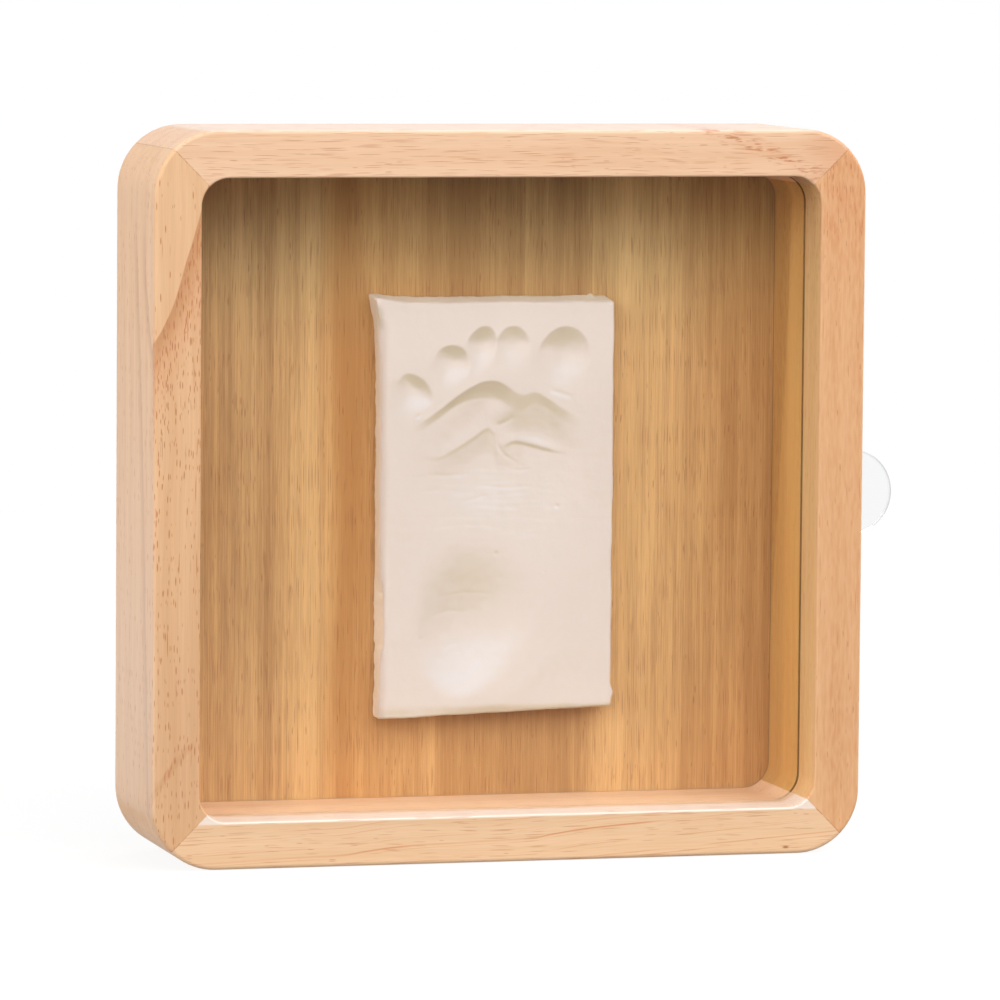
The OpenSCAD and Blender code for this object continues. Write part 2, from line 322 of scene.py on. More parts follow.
def bottom_figure(tree, along, across, depth):
    """Long growth lines rise gently to the right; one is dark, and a small knot sits near the right end. The
    inner lip gets a painted highlight, and the groove faint painted shade.
    """
    points = [(-85, 4.4), (-66, 3.6), (-50, 3), (-40, 2.75), (-35, 2.1), (-25, 1.1), (-10, 0.5), (5, 0)]
    points += [(10, -0.75), (20, -2), (30, -2.75), (40, -3.5), (60, -5), (85, -6.8)]
    line = drawn_line(tree, along, points)
    main = use(tree, growth, Across=across, Line=line, Fade=0.42, Edge=0.18)
    front_face = front_of(tree, depth)
    strong = step(tree, off_line(tree, along, -31), 14, 3)
    strong = reckon(tree, "MAXIMUM", strong, step(tree, off_line(tree, along, 21), 20, 10))
    crisp = times(tree, main["Shade"], step(tree, along, 42, 30), front_face, spread(tree, strong, 0.35, 1))
    feeds = {"W": reckon(tree, "DIVIDE", main["Past"], 0.5), "Scale": 1, "Detail": 2}
    wave = put(tree, "TexNoise", feeds, noise_dimensions="1D")
    beside_line = put(tree, "CombineXYZ", {0: along, 1: main["Past"]}).outputs[0]
    broken = step(tree, cloud(tree, beside_line, 14, 1.2), 0.35, 0.6)
    lines = times(tree, step(tree, wave.outputs[0], 0.55, 0.68), broken, front_face, 0.5)
    knot_along, knot_across, knot_stretch = 67, 3.9, 2.4
    spot = put(tree, "CombineXYZ", {0: reckon(tree, "DIVIDE", along, knot_stretch), 1: across}).outputs[0]
    knot = (knot_along / knot_stretch, knot_across, 0)
    spot = put(tree, "VectorMath", {0: spot, 1: knot}, operation="DISTANCE")
    lip = times(tree, step(tree, across, -4.7, -5.3), spread(tree, step(tree, depth, 11.5, 8), 0.15, 1))
    return {
        "rosy": reckon(tree, "MAXIMUM", times(tree, crisp, 0.9), lines),
        "brown": step(tree, spot.outputs["Value"], 0.45, 0.1),
        "sheen": lip,
        "groove": 0.25,
    }


def left_figure(tree, along, across, depth):
    """Smooth light wood above a slanting growth line, rosy open-pored wood below it, two lines outside, and a
    painted sheen on the outer side that grows towards the bottom.
    """
    points = [(85, 11), (70, 6.4), (65, 5), (60, 3.6), (55, 2), (50, 0.6), (45, -1), (40, -3.3), (36, -5.5)]
    line = drawn_line(tree, along, points + [(0, -20), (-85, -50)])
    front_face, outside = front_of(tree, depth), step(tree, across, -edge_ends, -side_begins)
    slant = use(tree, growth, Across=across, Line=line, Fade=11, Edge=0.35)
    past = slant["Past"]
    open_wood = times(tree, step(tree, past, -0.3, 0.2), step(tree, past, 34, 2), front_face)
    low_down = times(tree, step(tree, along, 30, -60), front_face, 0.35)
    smear = drawn_line(tree, along, [(-85, -16), (-72, -8), (-66, -4.4), (-60, 0), (-55, 4), (-40, 16)])
    patch = times(tree, step(tree, off_line(tree, across, smear), 2.4, 0), step(tree, along, -52, -58))
    patch = times(tree, patch, front_face)
    tan = times(tree, step(tree, along, 10, -80), 0.16, front_face)
    beside = times(tree, step(tree, past, -0.3, 0), step(tree, past, 5, 0), front_face, 0.4)
    brown = reckon(tree, "MAXIMUM", reckon(tree, "MAXIMUM", times(tree, patch, 0.3), tan), beside)
    for points in ([(85, 22), (72, 21), (45, 17), (25, 14), (0, 11), (-25, 9), (-45, 7), (-85, 3)],
                   [(85, 8), (75, 9), (58, 10), (45, 7), (37, 4), (25, -2), (-85, -9)]):
        drawn = use(tree, growth, Across=depth, Line=drawn_line(tree, along, points), Fade=5, Edge=0.5)
        shade = times(tree, drawn["Shade"], outside, step(tree, along, 68, 50), 0.34)
        brown = reckon(tree, "MAXIMUM", brown, shade)
    rosy = times(tree, slant["Shade"], front_face, 0.35)
    return {
        "rosy": rosy,
        "brown": brown,
        "flecks": reckon(tree, "MAXIMUM", times(tree, patch, 0.6), times(tree, rosy, 0.9)),
        "sheen": times(tree, outside, step(tree, along, 60, -70), 0.25),
        "pores": reckon(tree, "MAXIMUM", open_wood, low_down),
    }


def right_figure(tree, along, across, depth):
    """Rippled wood with rosy flecks at the top and a darker growth band on the wall inside the box; painted
    sheen on the outer side, painted shade on the wall behind the pane and in its groove.
    """
    flecks = step(tree, along, 45, 70)
    wall, outside = (step(tree, across, way * edge_ends, way * side_begins) for way in (-1, 1))
    front_face = reckon(tree, "SUBTRACT", 1, reckon(tree, "MAXIMUM", wall, outside))
    points = [(85, 23), (74, 24), (34, 27), (14, 30), (-6, 33), (-26, 36), (-85, 44)]
    line = drawn_line(tree, along, points)
    band = times(tree, use(tree, growth, Across=depth, Line=line, Fade=14, Edge=1.5)["Shade"], wall)
    return {
        "rosy": times(tree, reckon(tree, "MULTIPLY_ADD", flecks, 0.2, 0.2), front_face),
        "brown": times(tree, band, 0.4),
        "flecks": times(tree, flecks, 0.4),
        "sheen": times(tree, outside, 0.3),
        "pores": times(tree, flecks, 0.4),
        "ripple": 0.4,
        "wall": times(tree, wall, step(tree, depth, 0.6, 2.2)),
        "groove": 0.85,
    }


lying, upright = (math.radians(90), 0, 0), (math.radians(90), 0, math.radians(90))
bar_middle = 79.5
front = 21
dress("top_bar", bar_finish(
    "top_bar_wood", board=1, turn=lying, centre=(0, half_box + bar_middle, front), opening=1,
    light=paint(251, 215, 182), dark=paint(241, 199, 162),
    short_pores=0.03, long_pores=0.7, pore_tone=0.42, figure=top_figure))
dress("bottom_bar", bar_finish(
    "bottom_bar_wood", board=2, turn=lying, centre=(0, half_box - bar_middle, front), opening=-1,
    light=paint(247, 211, 173), dark=paint(238, 199, 158),
    short_pores=0.02, long_pores=0.35, pore_tone=0.45, figure=bottom_figure))
dress("left_bar", bar_finish(
    "left_bar_wood", board=3, turn=upright, centre=(-half_box, bar_middle, front), opening=1,
    light=paint(247, 207, 165), dark=paint(234, 188, 144),
    short_pores=0.12, long_pores=0.08, pore_tone=0.7, figure=left_figure))
dress("right_bar", bar_finish(
    "right_bar_wood", board=4, turn=upright, centre=(-half_box, -bar_middle, front), opening=-1,
    light=paint(244, 197, 149), dark=paint(229, 173, 123),
    short_pores=0.04, long_pores=0.06, pore_tone=0.45, figure=right_figure))


# The mitre dowels: eight turned pegs of plain pale wood, glued across the joints and hidden in the bars.
# Their grain runs along them, aslant in the frame.
for corner, slope in (("top_left", 45), ("bottom_right", 45), ("top_right", -45), ("bottom_left", -45)):
    material, tree, shader = new_finish("dowel_" + corner + "_wood")
    _, place = grain_place(tree, (math.radians(90), 0, math.radians(slope)), (0, 0, 0))
    wood = use(tree, grain, Place=place, Board=7, Short_Pores=0.1, Long_Pores=0.2)
    colour = stain(tree, wood["Tone"], paint(226, 198, 158), paint(206, 172, 126))
    colour = stain(tree, wood["Pores"], colour, PORE)
    tree.links.new(colour, shader.inputs["Base Color"])
    tree.links.new(spread(tree, wood["Fibre"], 0.55, 0.75), shader.inputs["Roughness"])
    for row in ("_front", "_rear"):
        dress("dowel_" + corner + row, material)


# The back panel: thin board faced with straight-grained veneer, its grain upright, in streaks from honey
# to grey brown with long fine pores. It sits in a rabbet at the rear and is held there by brads.
material, tree, shader = new_finish("panel_veneer_finish")
_, place = grain_place(tree, upright, (-half_box, 0, front))
along, across, _ = put(tree, "SeparateXYZ", {0: place}).outputs
wander = spread(tree, cloud(tree, place, 90, 30), -2.5, 2.5)
stripe = reckon(tree, "ADD", across, wander)
depth_of_tone = drawn_line(tree, stripe, [
    (-80, 0.6), (-60, 0.68), (-55, 0.56), (-51, 0.8), (-46, 0.42), (-38, 0.36), (-34, 0.44), (-31, 0.95),
    (-26, 0.55), (-18, 0.7), (-10, 0.6), (-3, 1.05), (6, 0.86), (14, 0.96), (24, 0.84), (33, 0.48),
    (37, 0.34), (43, 0.33), (50, 0.54), (58, 0.66), (66, 0.68), (80, 0.62)])
redness = drawn_line(tree, stripe, [
    (-80, 0.1), (-56, 0.05), (-50, 0.2), (-38, 0.3), (-31, 1), (-24, 0.75), (0, 0.4), (30, 0.2),
    (48, 0.3), (64, 0.55), (80, 0.6)])
wood = use(tree, grain, Place=place, Board=9, Short_Pores=0.04, Long_Pores=0.36)
mixed = depth_of_tone
for length, width, detail, share in (
        (70, 7, 3, 0.6), (150, 1.8, 3, 0.32), (30, 0.3, 2, 0.42), (7, 0.22, 2, 0.3)):
    streaks = cloud(tree, place, length, width, detail)
    mixed = reckon(tree, "ADD", mixed, spread(tree, streaks, -share, share))
mixed = step(tree, mixed, -0.2, 1.2)
colour = stain(tree, mixed, paint(237, 193, 133), paint(170, 127, 79))
colour = stain(tree, reckon(tree, "MULTIPLY", redness, 0.5), colour, paint(201, 134, 62))
# Painted shade tint: greyer and less red towards the top, where the top bar's shadow falls
shade_tint = (0.92, 1.09, 1.09, 1)
colour = stain(tree, step(tree, along, 25, 75), colour, shade_tint, "MULTIPLY")
colour = stain(tree, reckon(tree, "MULTIPLY", wood["Pores"], 0.44), colour, paint(132, 70, 36))
tree.links.new(colour, shader.inputs["Base Color"])
tree.links.new(spread(tree, wood["Fibre"], 0.45, 0.62), shader.inputs["Roughness"])
height = reckon(tree, "SUBTRACT", reckon(tree, "MULTIPLY", wood["Fibre"], 0.5), wood["Pores"])
bump = put(tree, "Bump", {"Height": height, "Strength": 0.35, "Distance": 0.00006})
tree.links.new(bump.outputs[0], shader.inputs["Normal"])
dress("back_panel", material)


# The brads: twelve thin steel wire nails with flat heads, driven through the panel's edge into the bars.
# Their heads are faintly scuffed by the hammer and dull in patches.
material, tree, shader = new_finish("brad_steel_finish")
seen = put(tree, "TexCoord").outputs["Object"]
scuff = put(tree, "TexNoise", {"Vector": seen, "Scale": 2600, "Detail": 3}).outputs[0]
dull = put(tree, "TexNoise", {"Vector": seen, "Scale": 420, "Detail": 2}).outputs[0]
tree.links.new(stain(tree, dull, paint(206, 205, 200), paint(164, 160, 152)), shader.inputs["Base Color"])
shader.inputs["Metallic"].default_value = 1
tree.links.new(spread(tree, scuff, 0.24, 0.5), shader.inputs["Roughness"])
bump = put(tree, "Bump", {"Height": scuff, "Strength": 0.3, "Distance": 0.00004})
tree.links.new(bump.outputs[0], shader.inputs["Normal"])
dress("panel_brads", material)


# The two strips of double-sided foam tape between the panel and the clay: white closed-cell foam, cut
# square, of which only the edges show.
material, tree, shader = new_finish("tape_foam_finish")
seen = put(tree, "TexCoord").outputs["Object"]
cells = put(tree, "TexVoronoi", {"Vector": seen, "Scale": 4200}).outputs["Distance"]
colour = stain(tree, step(tree, cells, 0.2, 0.7), paint(246, 245, 240), paint(222, 219, 210))
tree.links.new(colour, shader.inputs["Base Color"])
tree.links.new(spread(tree, cells, 0.8, 0.95), shader.inputs["Roughness"])
bump = put(tree, "Bump", {"Height": cells, "Strength": 0.4, "Distance": 0.00008})
tree.links.new(bump.outputs[0], shader.inputs["Normal"])
for name in ("tape_upper", "tape_lower"):
    dress(name, material)


# The clay slab: soft white modelling clay, rolled out and cut by hand with a knife, so its edges are
# uneven and a little torn. A baby's foot was pressed into it, which left the toes, the ball and the heel
# as dents with folds between them, and it dried hard and matt. Tape holds it on the panel.
_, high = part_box("clay_imprint")
slab_wide, slab_high, slab_thick, slab_edge = 56.6, 99.6, 7.0, 0.5
slab_x, slab_z, slab_rear = 3.8, 80.6, high.y * 1000
face_columns, face_rows, wrap_rows = 176, 316, 12
columns, rows = face_columns + 2 * wrap_rows, face_rows + 2 * wrap_rows
bpy.ops.object.select_all(action="DESELECT")
bpy.ops.mesh.primitive_grid_add(x_subdivisions=columns, y_subdivisions=rows, size=2)
clay = bpy.context.object
clay.name = clay.data.name = "clay_slab"
sheet = np.zeros(len(clay.data.vertices) * 3)
clay.data.vertices.foreach_get("co", sheet)
sheet = sheet.reshape(-1, 3)


def wrapped(share, half, face_steps):
    """Where a row of the sheet lies on the face, and how far it has gone over the slab's edge."""
    at = share * (face_steps / 2 + wrap_rows) / (face_steps / 2)
    flat = np.clip(at, -1, 1) * (half - slab_edge)
    over = np.clip(np.abs(at) - 1, 0, None) * face_steps / wrap_rows
    round_it = np.minimum(over, 1) * slab_edge * math.pi / 2
    down = np.clip(over - 1, 0, 1) * (slab_thick - slab_edge)
    return flat, np.sign(at) * (round_it + down)


def ease(value, low, high):
    """0 up to low and 1 from high on, with a soft step between. Low may be the larger of the two."""
    share = np.clip((value - low) / (high - low), 0, 1)
    return share * share * (3 - 2 * share)


def lumps(size, seed, *axes):
    """Soft noise from -1 to 1, with lumps of a size in millimetres."""
    axes = [np.broadcast_to(a, x.shape) for a in axes] + [np.zeros(x.shape)] * (3 - len(axes))
    spots = np.stack(axes, 1) / size + seed
    return np.array([noise.noise(Vector(spot)) for spot in spots])


# The sheet bent over the slab's edges and down its sides, with a lower edge that rises to the right
flat_x, over_x = wrapped(sheet[:, 0], slab_wide / 2, face_columns)
flat_y, over_y = wrapped(sheet[:, 1], slab_high / 2, face_rows)
run, length = np.maximum(np.abs(over_x), np.abs(over_y)), np.hypot(over_x, over_y) + 1e-9
bent = np.minimum(run, slab_edge * math.pi / 2)
reach = slab_edge * np.sin(bent / slab_edge)
fall = slab_edge * (1 - np.cos(bent / slab_edge)) + run - bent
x, y = flat_x + over_x / length * reach, flat_y + over_y / length * reach
lower_edge_rise, upper_corner_pull = 2.0, 1.4
y = y + lower_edge_rise * (x / slab_wide + 0.5) * (0.5 - y / slab_high)
leftmost, topmost = np.clip(0.5 - x / slab_wide, 0, 1), np.clip(0.5 + y / slab_high, 0, 1)
x = x - upper_corner_pull * leftmost ** 6 * topmost ** 12

# The knife went in aslant at the top, the left edge tore lower down, and crumbs were left at the corners
raised = 1 - fall / slab_thick
torn = 0.9 * ease(y, -16, -21) * ease(y, -38, -32) + 0.12 * (1 + lumps(4, 3, y, fall))
x = x + torn * raised * ease(x, -24, -28)
corner = ease(x, -22, -29) * ease(y, 42, 48)
x = x + (0.65 - 0.4 * raised) * ease(x, -22, -27.5) * (1 - corner) + 0.3 * ease(x, 22, 27)
x = x + np.sign(x) * 0.3 * lumps(9, 11, y, np.sign(x)) * ease(np.abs(x), 23, 27.5)
aslant = (0.95 + 1.05 * raised) * (1 - corner) + 0.6 * raised * corner
y = y - aslant * ease(y, 44, 48.6) - 0.5 * ease(y, -44, -48.5)
y = y + np.sign(y) * 0.22 * lumps(8, 17, x, np.sign(y)) * ease(np.abs(y), 44, 48)
top_right = ease(y, 47, 48.2) * ease(x, 20, 22) * ease(x, 27.5, 26)
y = y + 0.9 * np.clip(lumps(1.1, 23, x, y), 0, 1) * top_right
x = x + 0.6 * np.exp(-((y + 45) / 1.3) ** 2) * ease(x, 26, 28)
crumbs = (lumps(1.9, 31, x, y, fall) + 0.6 * lumps(0.8, 37, x, y, fall)) * ease(fall, 0.1, 0.8)
crumbs = crumbs * (0.14 + 0.12 * ease(x, -24, -27) * ease(y, -10, -20))
x, y = x + np.sign(over_x) * crumbs, y + np.sign(over_y) * crumbs


def curve(points, per_part):
    """Points along a smooth line through a few given ones."""
    p = np.array([points[0], *points, points[-1]], float)
    t = np.linspace(0, 1, per_part, endpoint=False)[:, None]
    parts = []
    for a, b, c, d in zip(p, p[1:], p[2:], p[3:]):
        bend, twist = 2 * a - 5 * b + 4 * c - d, 3 * b - a - 3 * c + d
        parts.append(b + t * (c - a) / 2 + t ** 2 * bend / 2 + t ** 3 * twist / 2)
    return np.concatenate(parts + [p[-1:]])


def height_of(points):
    """How high a smooth line runs over each point of the slab."""
    line = curve(points, 8)
    return np.interp(x, line[:, 0], line[:, 1])


def toe(deepest, left, right, up, down, turn, depth):
    """A hollow that is deepest off its middle: crisp at its upper rim, and running out softly below."""
    a = math.radians(turn)
    dx, dy = x - deepest[0], y - deepest[1]
    across, along = dx * math.cos(a) + dy * math.sin(a), dy * math.cos(a) - dx * math.sin(a)
    across = np.abs(across) / np.where(across < 0, left, right)
    reach = np.abs(along) / np.where(along < 0, down, up)
    far = across ** 2 + reach ** 1.8
    crisp = ease(along, -0.5 * down, 0.4 * up)
    return depth * (np.clip(1 - far, 0, None) ** 1.1 * crisp + np.exp(-2.2 * far) * (1 - crisp))


def crease(points, depth, width):
    """A fine fold along a line, which runs out at the line's ends."""
    best, share = np.full(len(x), 1e9), np.zeros(len(x))
    path = curve(points, 5)
    for i, ((ax, ay), (bx, by)) in enumerate(zip(path, path[1:])):
        length_squared = (bx - ax) ** 2 + (by - ay) ** 2 + 1e-9
        part = np.clip(((x - ax) * (bx - ax) + (y - ay) * (by - ay)) / length_squared, 0, 1)
        gap = np.hypot(x - ax - part * (bx - ax), y - ay - part * (by - ay))
        share = np.where(gap < best, (i + part) / (len(path) - 1), share)
        best = np.minimum(best, gap)
    return depth * np.sin(math.pi * share) ** 0.7 * np.exp(-(best / width) ** 2)


# Each toe's deepest point, its reach to the left, right, up and down, its turn and its depth
toes = np.max([
    toe((16.4, 35.4), 6.2, 6.6, 6.8, 9.8, -18, 1.55),
    toe((4.0, 37.6), 4.4, 4.2, 4.7, 6.0, -4, 0.95),
    toe((-3.4, 37.4), 4.0, 3.3, 4.9, 6.4, -16, 1.2),
    toe((-10.2, 33.5), 5.0, 4.2, 4.1, 6.4, -36, 1.2),
    toe((-19.4, 27.2), 5.0, 4.8, 2.9, 7.0, -44, 1.1),
], axis=0)

# The ball of the foot: a crisp upper edge with a hollow below it in two lobes, which ends at a fold
below = height_of([
    (-24, 17.6), (-21, 18.6), (-18, 20), (-14, 22.5), (-10, 25.5), (-6, 28), (-3, 29.2), (0, 29.3),
    (2.5, 28.1), (5, 26.5), (6.8, 26.1), (9, 26.7), (11, 26.5), (14, 24.5), (17, 22.3), (18.5, 21.5),
    (21, 20), (24, 19)]) - y
under = height_of([
    (-26, 13.5), (-19, 12.3), (-14, 11.6), (-9, 14), (-5, 16.3), (-2, 18.3), (-0.2, 17.2), (1, 14.6),
    (2.5, 14.4), (5, 15.1), (9, 14.3), (13, 13.2), (19, 12), (26, 11)]) - y
into, past, right = np.clip(below, 0, None), np.clip(15.5 - y, 0, None), ease(x, 0.5, 5.5)
middle = np.exp(-((x + 0.5) / 6) ** 2)
drop = 1 - (1 - np.clip(into / (2.2 + 2.4 * middle + 0.8 * right), 0, 1)) ** 1.4
left_lobe = (0.85 + 0.8 * middle) * drop + 0.45 * ease(into, 1, 11)
right_lobe = 0.55 * drop + 1.35 * ease(into, 0, 11)
ball = (left_lobe + (right_lobe - left_lobe) * right) * np.exp(-(past / 22) ** 2)
ball = ball * ease(x, -23, -10) * ease(x, 23, 13)
lip = np.exp(-(under / np.where(under < 0, 2.4 - 0.9 * right, 0.75 - 0.2 * right)) ** 2)
lip = lip * (0.24 + 0.1 * right * ease(x, 4, 7) * ease(x, 17, 11))
ball = ball - lip * ease(x, -20, -9) * ease(x, 20, 12) * (1 - 0.8 * np.exp(-((x - 1.4) / 1.6) ** 2))
ball = ball + 0.7 * ease(under, 0, 7) * np.exp(-(past / 14) ** 2) * ease(x, -22, -8) * ease(x, 10, 0)
ball = ball - 0.3 * np.exp(-((x - 0.9) / 3.2) ** 2 - ((y - 21.9) / 2.8) ** 2)

# The heel: one broad hollow that leans to the right, with its lower rim crisper than the rest
heel_x, heel_y, heel_lean, heel_depth = -7.5, -29.5, 0.2, 2.95
heel_left, heel_right, heel_down, heel_up = 13.5, 19, 16.6, 23
dx = x - heel_x
dy = y - heel_y - heel_lean * np.clip(dx, 0, None)
sideways = (np.abs(dx) / np.where(dx < 0, heel_left, heel_right)) ** 1.1
reach = np.clip(np.hypot(sideways, dy / np.where(dy < 0, heel_down, heel_up)), 0, 1)
soft = 0.5 + 0.5 * np.cos(math.pi * reach)
crisp = (1 - reach ** 2) ** (1.6 + 0.9 * ease(dx, 0, 12))
heel = heel_depth * (soft + (crisp - soft) * ease(dy, 8, -12))

# Folds and creases of the skin by depth, width and course, then pits, wrinkles and the clay's own lumps
sole = np.maximum(toes, np.clip(ball, 0, None)) + heel
for depth, width, points in [
    (0.16, 0.3, [(0.4, 17), (0.9, 14.4), (1.6, 12.8), (3, 11.3), (5.8, 9.7)]),
    (0.12, 0.5, [(0.4, 18.6), (2.4, 19.3), (4.6, 20.9)]),
    (-0.22, 2.2, [(-2, -48), (5, -43.5), (10, -39.5), (18, -32)]),
    (0.2, 0.55, [(13, 27.1), (15.5, 26.3), (18.6, 25.3)]),
    (0.1, 0.35, [(-17, 7.5), (-11, 7.0), (-6, 7.4)]),
    (0.1, 0.3, [(3, 8.7), (6, 8.1), (10, 8.5)]),
    (0.08, 0.3, [(-7.4, 0.9), (-4.5, 1.6), (-1.6, 2.3)]),
    (0.07, 0.35, [(-18.5, 3.1), (-15, 3.6), (-11, 3.3)]),
    (0.07, 0.3, [(-5, 4.7), (2, 4.0), (9, 4.3)]),
    (0.05, 0.35, [(-17, -5.2), (-8, -4.6), (1, -5.4)]),
    (0.05, 0.35, [(-16, -26.7), (-11, -25.2), (-6, -25.6)]),
    (0.04, 0.35, [(-13, -21.7), (-7, -20.8), (0, -21.2)]),
]:
    sole = sole + crease(points, depth, width)
for px, py, depth, wide in [(15.2, -0.5, 0.2, 0.45), (0.3, -11.5, 0.2, 0.4), (-19, 21.2, 0.25, 0.5),
                            (-18, -31.5, 0.12, 0.4), (12, -16, 0.1, 0.4), (24, -40, 0.1, 0.4)]:
    sole = sole + depth * np.exp(-((x - px) ** 2 + (y - py) ** 2) / wide ** 2)
wrinkled = ease(x, -25, -15) * ease(x, 22, 10) * ease(y, -13, -4) * ease(y, 15, 9)
sole = sole + 0.03 * wrinkled * lumps(1, 61, x / 6, y / 0.8)
sole = sole + 0.08 * lumps(13, 41, x, y) + 0.045 * lumps(2.4, 47, x, y) + 0.015 * lumps(0.9, 53, x, y) + 0.06

# The face sinks a little towards the lower and the left edge
sole = sole + 0.7 * ease(y, -46.6, -50) ** 1.5 * (0.45 + 0.55 * ease(x, -20, 2))
sole = sole + 2.0 * ease(x, -25.4, -29.4) ** 1.6 * ease(y, 48, 40)
top = (slab_thick - sole) * (1 - fall / slab_thick)
co = np.stack([(slab_x + x) / 1000, (slab_rear - np.clip(top, 0, None)) / 1000, (slab_z + y) / 1000], 1)
clay.data.vertices.foreach_set("co", co.ravel())
clay.data.update()
bpy.ops.object.mode_set(mode="EDIT")
bpy.ops.mesh.select_mode(type="EDGE")
bpy.ops.mesh.select_all(action="DESELECT")
bpy.ops.mesh.select_non_manifold()
bpy.ops.mesh.edge_face_add()
bpy.ops.mesh.select_all(action="SELECT")
bpy.ops.mesh.normals_make_consistent(inside=False)
bpy.ops.object.mode_set(mode="OBJECT")
bpy.ops.object.shade_smooth_by_angle(angle=math.radians(60))

material, tree, shader = new_finish("dried_clay")
spot = put(tree, "TexCoord").outputs
bloom = put(tree, "TexNoise", {"Vector": spot["Object"], "Scale": 70, "Detail": 3}).outputs[0]
dust = put(tree, "TexNoise", {"Vector": spot["Object"], "Scale": 1500, "Detail": 4}).outputs[0]
_, out, upward = put(tree, "SeparateXYZ", {0: spot["Normal"]}).outputs
# Painted light and shade by which way the face looks: darker and yellower on slopes that face down, lighter
# on slopes that face up, with a faint random bloom
face = step(tree, out, -0.25, -0.5)
facing_up_and_bloom = reckon(tree, "MULTIPLY_ADD", upward, face, spread(tree, bloom, -0.08, 0.08))
high_up = step(tree, put(tree, "SeparateXYZ", {0: spot["Object"]}).outputs[2], 0.1, 0.13)
colour = stain(tree, step(tree, facing_up_and_bloom, -0.35, 0.02), paint(210, 194, 168), paint(223, 209, 199))
lit_slopes = times(tree, step(tree, facing_up_and_bloom, 0.02, 0.32), step(tree, facing_up_and_bloom, 0.7, 0.5))
colour = stain(tree, lit_slopes, colour, paint(225, 219, 217))
# Painted light: lighter near the top of the slab
colour = stain(tree, times(tree, high_up, step(tree, facing_up_and_bloom, -0.2, 0)), colour, paint(233, 219, 209))
# Painted light: the cut sides are lighter than the face
colour = stain(tree, reckon(tree, "SUBTRACT", 1, face), colour, paint(252, 245, 230))
colour = stain(tree, spread(tree, dust, 0.0, 0.12), colour, paint(214, 190, 168))
tree.links.new(colour, shader.inputs["Base Color"])
tree.links.new(spread(tree, dust, 0.75, 0.95), shader.inputs["Roughness"])
bump = put(tree, "Bump", {"Height": dust, "Strength": 0.3, "Distance": 0.0001})
tree.links.new(bump.outputs[0], shader.inputs["Normal"])
clay.data.materials.append(material)
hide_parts("clay_imprint")
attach(clay, "frame")


# The sliding pane: a clear acrylic sheet cut with its half-round pull tab in one piece, the faces polished
# and the cut edges left a little dull. It slides in the groove and out through the slot in the right bar.
tab_x, tab_z, tab_radius = 86.1, 84, 10
material, tree, shader = new_finish("clear_acrylic")
facing = put(tree, "SeparateXYZ", {0: put(tree, "NewGeometry").outputs["True Normal"]}).outputs[1]
cut_edge = step(tree, reckon(tree, "ABSOLUTE", facing), 0.9, 0.5)
shader.inputs["Transmission Weight"].default_value = 1
shader.inputs["IOR"].default_value = 1.49
seen = put(tree, "TexCoord").outputs["Object"]
flat = put(tree, "VectorMath", {0: seen, 1: (1000, 0, 1000)}, operation="MULTIPLY").outputs[0]
from_tab = put(tree, "VectorMath", {0: flat, 1: (tab_x, 0, tab_z)}, operation="DISTANCE").outputs["Value"]
out_of_box = step(tree, put(tree, "SeparateXYZ", {0: flat}).outputs[0], half_box - 0.2, half_box)
# A faint grey ring just inside the tab's round edge, painted shade for the dark outline the edge shows
rim = times(tree, step(tree, from_tab, tab_radius - 0.55, tab_radius - 0.2), out_of_box)
clear = stain(tree, rim, paint(255, 255, 255), paint(240, 240, 241))
tree.links.new(stain(tree, cut_edge, clear, paint(230, 235, 237)), shader.inputs["Base Color"])
tree.links.new(spread(tree, cut_edge, 0.0, 0.08), shader.inputs["Roughness"])
lamps_pass = put(tree, "BsdfTransparent", {"Color": paint(248, 249, 249)})
rays = put(tree, "LightPath").outputs
both = put(tree, "MixShader", {0: rays["Is Shadow Ray"], 1: shader.outputs[0], 2: lamps_pass.outputs[0]})
tree.links.new(both.outputs[0], tree.nodes["Material Output"].inputs["Surface"])
dress("sliding_pane", material)


# The studio: a white floor without end, a broad soft lamp in front and above, one overhead, and weaker
# ones at the sides and behind, so that the box looks right from everywhere.
def shown(tree, behind):
    """Where the white room shows: to the camera, through the pane, and in reflections of its rear half."""
    rays = put(tree, "LightPath").outputs
    unmirrored = reckon(tree, "LESS_THAN", rays["Glossy Depth"], 0.5)
    through = reckon(tree, "MULTIPLY", rays["Is Transmission Ray"], unmirrored)
    mirrored = reckon(tree, "MULTIPLY", rays["Is Glossy Ray"], spread(tree, behind, 0.1, 0.85))
    clear = reckon(tree, "MAXIMUM", reckon(tree, "MAXIMUM", rays["Is Camera Ray"], through), mirrored)
    return reckon(tree, "MULTIPLY", clear, reckon(tree, "LESS_THAN", rays["Diffuse Depth"], 0.5))


bpy.ops.object.select_all(action="DESELECT")
bpy.ops.mesh.primitive_plane_add(size=30, location=(0, 0, -0.0002))
floor = bpy.context.object
floor.name = "floor"
bpy.ops.object.transform_apply(location=True)
material = bpy.data.materials.new("white_floor")
material.use_nodes = True
tree = material.node_tree
tree.nodes.clear()

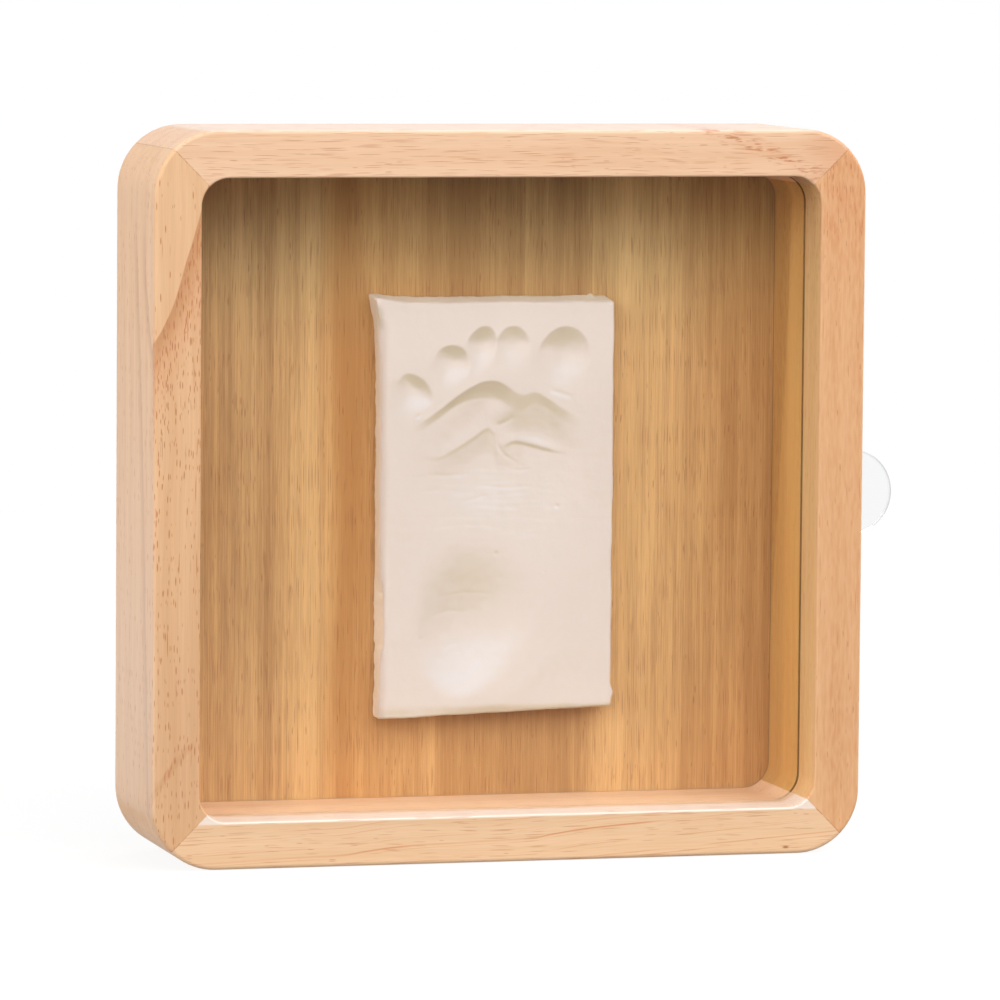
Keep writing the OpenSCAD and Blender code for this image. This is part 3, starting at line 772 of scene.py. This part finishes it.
# The floor glows white where it is seen; otherwise it gives a little light back close to the box, and a strip
# around the box glows as painted light on its lower edges
place = put(tree, "TexCoord").outputs["Object"]
seen = shown(tree, step(tree, put(tree, "SeparateXYZ", {0: place}).outputs[1], -0.2, 0.4))
away = put(tree, "VectorMath", {0: place}, operation="LENGTH").outputs["Value"]
far = step(tree, away, 0.25, 0.9)
near = reckon(tree, "SUBTRACT", 1, far)
matt_white = stain(tree, seen, (0.06, 0.06, 0.06, 1), (0.14, 0.14, 0.14, 1))
box_half = (half_box / 1000, front / 1000, 0)
beside = put(tree, "VectorMath", {0: place}, operation="ABSOLUTE")
beside = put(tree, "VectorMath", {0: beside.outputs[0], 1: box_half}, operation="SUBTRACT")
beside = put(tree, "VectorMath", {0: beside.outputs[0], 1: (0, 0, 0)}, operation="MAXIMUM")
beside = put(tree, "VectorMath", {0: beside.outputs[0]}, operation="LENGTH").outputs["Value"]
glow_by_box = reckon(tree, "MULTIPLY", step(tree, beside, 0.03, 0), reckon(tree, "SUBTRACT", 1, seen))
matt = put(tree, "BsdfDiffuse", {"Color": stain(tree, near, (0, 0, 0, 1), matt_white)})
white = spread(tree, far, 0.88, 1)
strength = reckon(tree, "MULTIPLY_ADD", glow_by_box, 0.35, reckon(tree, "MULTIPLY", seen, white))
glow = put(tree, "Emission", {"Color": (1, 1, 1, 1), "Strength": strength})
both = put(tree, "AddShader", {0: matt.outputs[0], 1: glow.outputs[0]})
put(tree, "OutputMaterial", {"Surface": both.outputs[0]})
floor.data.materials.append(material)

world = bpy.data.worlds.new("white_room")
bpy.context.scene.world = world
world.use_nodes = True
tree = world.node_tree
tree.nodes.clear()
way = put(tree, "SeparateXYZ", {0: put(tree, "TexCoord").outputs["Generated"]}).outputs[1]
seen = shown(tree, step(tree, way, -0.2, 0.3))
room = put(tree, "Background", {"Color": (1, 1, 1, 1), "Strength": spread(tree, seen, 0.08, 1)})
put(tree, "OutputWorld", {"Surface": room.outputs[0]})


def lamp(name, azimuth, elevation, distance, size, power, mirrored=False):
    """A soft box that faces the middle of the object. Azimuth 0 is in front, and positive is to the right."""
    data = bpy.data.lights.new(name, "AREA")
    data.shape = "RECTANGLE"
    data.size, data.size_y = size
    data.energy = power
    made = bpy.data.objects.new(name, data)
    a, e = math.radians(azimuth), math.radians(elevation)
    out = Vector((math.sin(a) * math.cos(e), -math.cos(a) * math.cos(e), math.sin(e)))
    made.location = Vector((0, 0, half_box / 1000)) + out * distance
    made.rotation_euler = out.to_track_quat("Z", "Y").to_euler()
    made.visible_camera = False
    made.visible_glossy = mirrored
    bpy.context.scene.collection.objects.link(made)


lamp("front_lamp", azimuth=23, elevation=32.5, distance=1.6, size=(2.3, 1.1), power=25.8)
lamp("fill_lamp", azimuth=-44, elevation=18, distance=1.6, size=(0.8, 0.8), power=8)
lamp("high_lamp", azimuth=25, elevation=63, distance=1.6, size=(1.5, 0.8), power=4, mirrored=True)
lamp("top_lamp", azimuth=0, elevation=86, distance=1.4, size=(1.4, 1.0), power=2.4, mirrored=True)
lamp("left_lamp", azimuth=-88, elevation=12, distance=1.6, size=(0.7, 0.6), power=13.4)
lamp("right_lamp", azimuth=95, elevation=12, distance=1.6, size=(1.2, 0.6), power=10)
lamp("rear_lamp", azimuth=150, elevation=14, distance=1.6, size=(1.4, 0.7), power=18)

# The camera, fitted to the box's edges in the photograph
camera = bpy.data.objects.new("camera", bpy.data.cameras.new("camera"))
camera.location = (-0.42611, -1.58244, 0.22505)
camera.rotation_euler = (math.radians(85.0325), math.radians(-0.4695), math.radians(-15.1148))
camera.data.lens = 252.81
camera.data.sensor_width = 36
camera.data.clip_start = 0.05
bpy.context.scene.collection.objects.link(camera)
bpy.context.scene.camera = camera
bpy.context.scene.view_settings.view_transform = "Standard"
